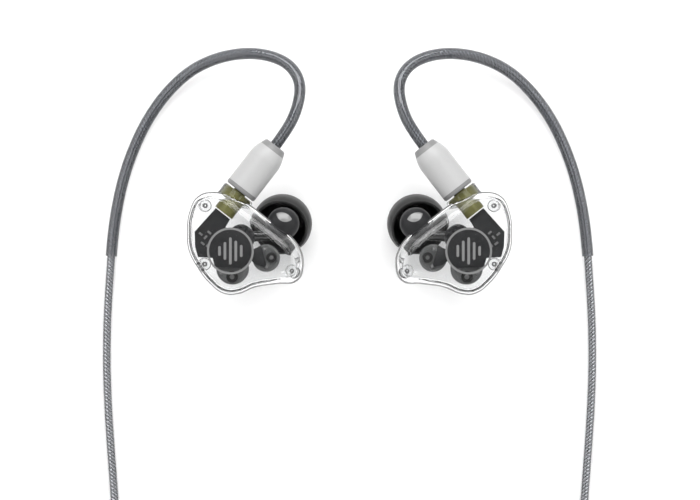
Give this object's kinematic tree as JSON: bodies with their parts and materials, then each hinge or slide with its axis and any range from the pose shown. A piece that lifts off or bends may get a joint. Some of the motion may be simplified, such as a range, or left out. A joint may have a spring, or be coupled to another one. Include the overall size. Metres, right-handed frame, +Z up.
{
  "type": "in ear monitors",
  "caption": "Mirror pair of clear-shelled in-ear monitors with silicone tips, formed ear guides, plug-in cable and headphone plug.",
  "frame": {"origin": "on the table, under the middle of the box round both earpieces and their ear guides", "axes": "+X from the left earpiece to the right one, +Y towards the top of the ear guides, +Z up from the table; face plates look up"},
  "size_m": [0.1066, 0.1998, 0.0197],
  "materials": {
    "clear_shell": "clear moulded polycarbonate, polished",
    "emblem_ink": "silver-grey printed ink",
    "socket_metal": "olive-gold plated brass",
    "white_insulator": "white fluoropolymer",
    "gold": "gold-plated brass",
    "board_black": "matt black board",
    "component_metal": "tinned chips and solder",
    "driver_case": "dark coated driver cases",
    "sound_tube_plastic": "dark flexible tube",
    "screen_steel": "fine steel mesh",
    "tip_silicone": "black silicone, satin",
    "sleeve_plastic": "light grey moulded plastic, satin",
    "collar_plastic": "mid grey moulded plastic",
    "spring_brass": "spring brass",
    "guide_plastic": "translucent grey formed tube",
    "cable_jacket": "clear jacket over twisted silver strands",
    "tie_fabric": "black hook-and-loop strap",
    "relief_rubber": "soft black strain relief",
    "handle_aluminium": "grey anodised handle"
  },
  "bodies": {
    "cable": {"left_plug_sleeve": "sleeve_plastic", "left_sleeve_collar": "collar_plastic", "left_plug_barrel": "gold", "left_plug_insulator": "white_insulator", "left_plug_pin": "gold", "left_ear_guide": "guide_plastic", "left_branch_cable": "cable_jacket", "left_branch_coil": "cable_jacket", "right_plug_sleeve": "sleeve_plastic", "right_sleeve_collar": "collar_plastic", "right_plug_barrel": "gold", "right_plug_insulator": "white_insulator", "right_plug_pin": "gold", "right_ear_guide": "guide_plastic", "right_branch_cable": "cable_jacket", "right_branch_coil": "cable_jacket", "cable_splitter": "sleeve_plastic", "coil_ties": "tie_fabric", "trunk_cable": "cable_jacket", "trunk_coil": "cable_jacket", "jack_strain_relief": "relief_rubber", "jack_handle": "handle_aluminium", "jack_contacts": "gold", "jack_insulators": "board_black"},
    "slider": {"chin_slider": "collar_plastic"},
    "left_snap_ring": {"left_snap_ring": "spring_brass"},
    "left_earpiece": {"left_inner_shell": "clear_shell", "left_outer_cover": "clear_shell", "left_emblem": "emblem_ink", "left_shell_pins": "clear_shell", "left_socket_body": "socket_metal", "left_socket_insulator": "white_insulator", "left_socket_contact": "gold", "left_crossover_board": "board_black", "left_board_components": "component_metal", "left_low_driver": "driver_case", "left_mid_driver": "driver_case", "left_high_driver": "driver_case", "left_sound_tube": "sound_tube_plastic", "left_nozzle_screen": "screen_steel"},
    "left_tip": {"left_ear_tip": "tip_silicone"},
    "right_snap_ring": {"right_snap_ring": "spring_brass"},
    "right_earpiece": {"right_inner_shell": "clear_shell", "right_outer_cover": "clear_shell", "right_emblem": "emblem_ink", "right_shell_pins": "clear_shell", "right_socket_body": "socket_metal", "right_socket_insulator": "white_insulator", "right_socket_contact": "gold", "right_crossover_board": "board_black", "right_board_components": "component_metal", "right_low_driver": "driver_case", "right_mid_driver": "driver_case", "right_high_driver": "driver_case", "right_sound_tube": "sound_tube_plastic", "right_nozzle_screen": "screen_steel"},
    "right_tip": {"right_ear_tip": "tip_silicone"}
  },
  "joints": [
    {"name": "slider_slide", "type": "slide", "parent": "cable", "child": "slider", "axis": [0, 1, 0], "range_m": [0, 0.008]},
    {"name": "left_swivel", "type": "hinge", "parent": "cable", "child": "left_snap_ring", "pos_m": [-0.02347, -0.00432, 0.014], "axis": [0.6115, 0.7912, 0], "continuous": true},
    {"name": "left_unplug", "type": "slide", "parent": "left_snap_ring", "child": "left_earpiece", "axis": [-0.6115, -0.7912, 0], "range_m": [0, 0.006]},
    {"name": "left_tip_pull_off", "type": "slide", "parent": "left_earpiece", "child": "left_tip", "axis": [0.1399, 0.2999, -0.9437], "range_m": [0, 0.009]},
    {"name": "right_swivel", "type": "hinge", "parent": "cable", "child": "right_snap_ring", "pos_m": [0.02347, -0.00432, 0.014], "axis": [-0.6115, 0.7912, 0], "continuous": true},
    {"name": "right_unplug", "type": "slide", "parent": "right_snap_ring", "child": "right_earpiece", "axis": [0.6115, -0.7912, 0], "range_m": [0, 0.006]},
    {"name": "right_tip_pull_off", "type": "slide", "parent": "right_earpiece", "child": "right_tip", "axis": [-0.1399, 0.2999, -0.9437], "range_m": [0, 0.009]}
  ]
}
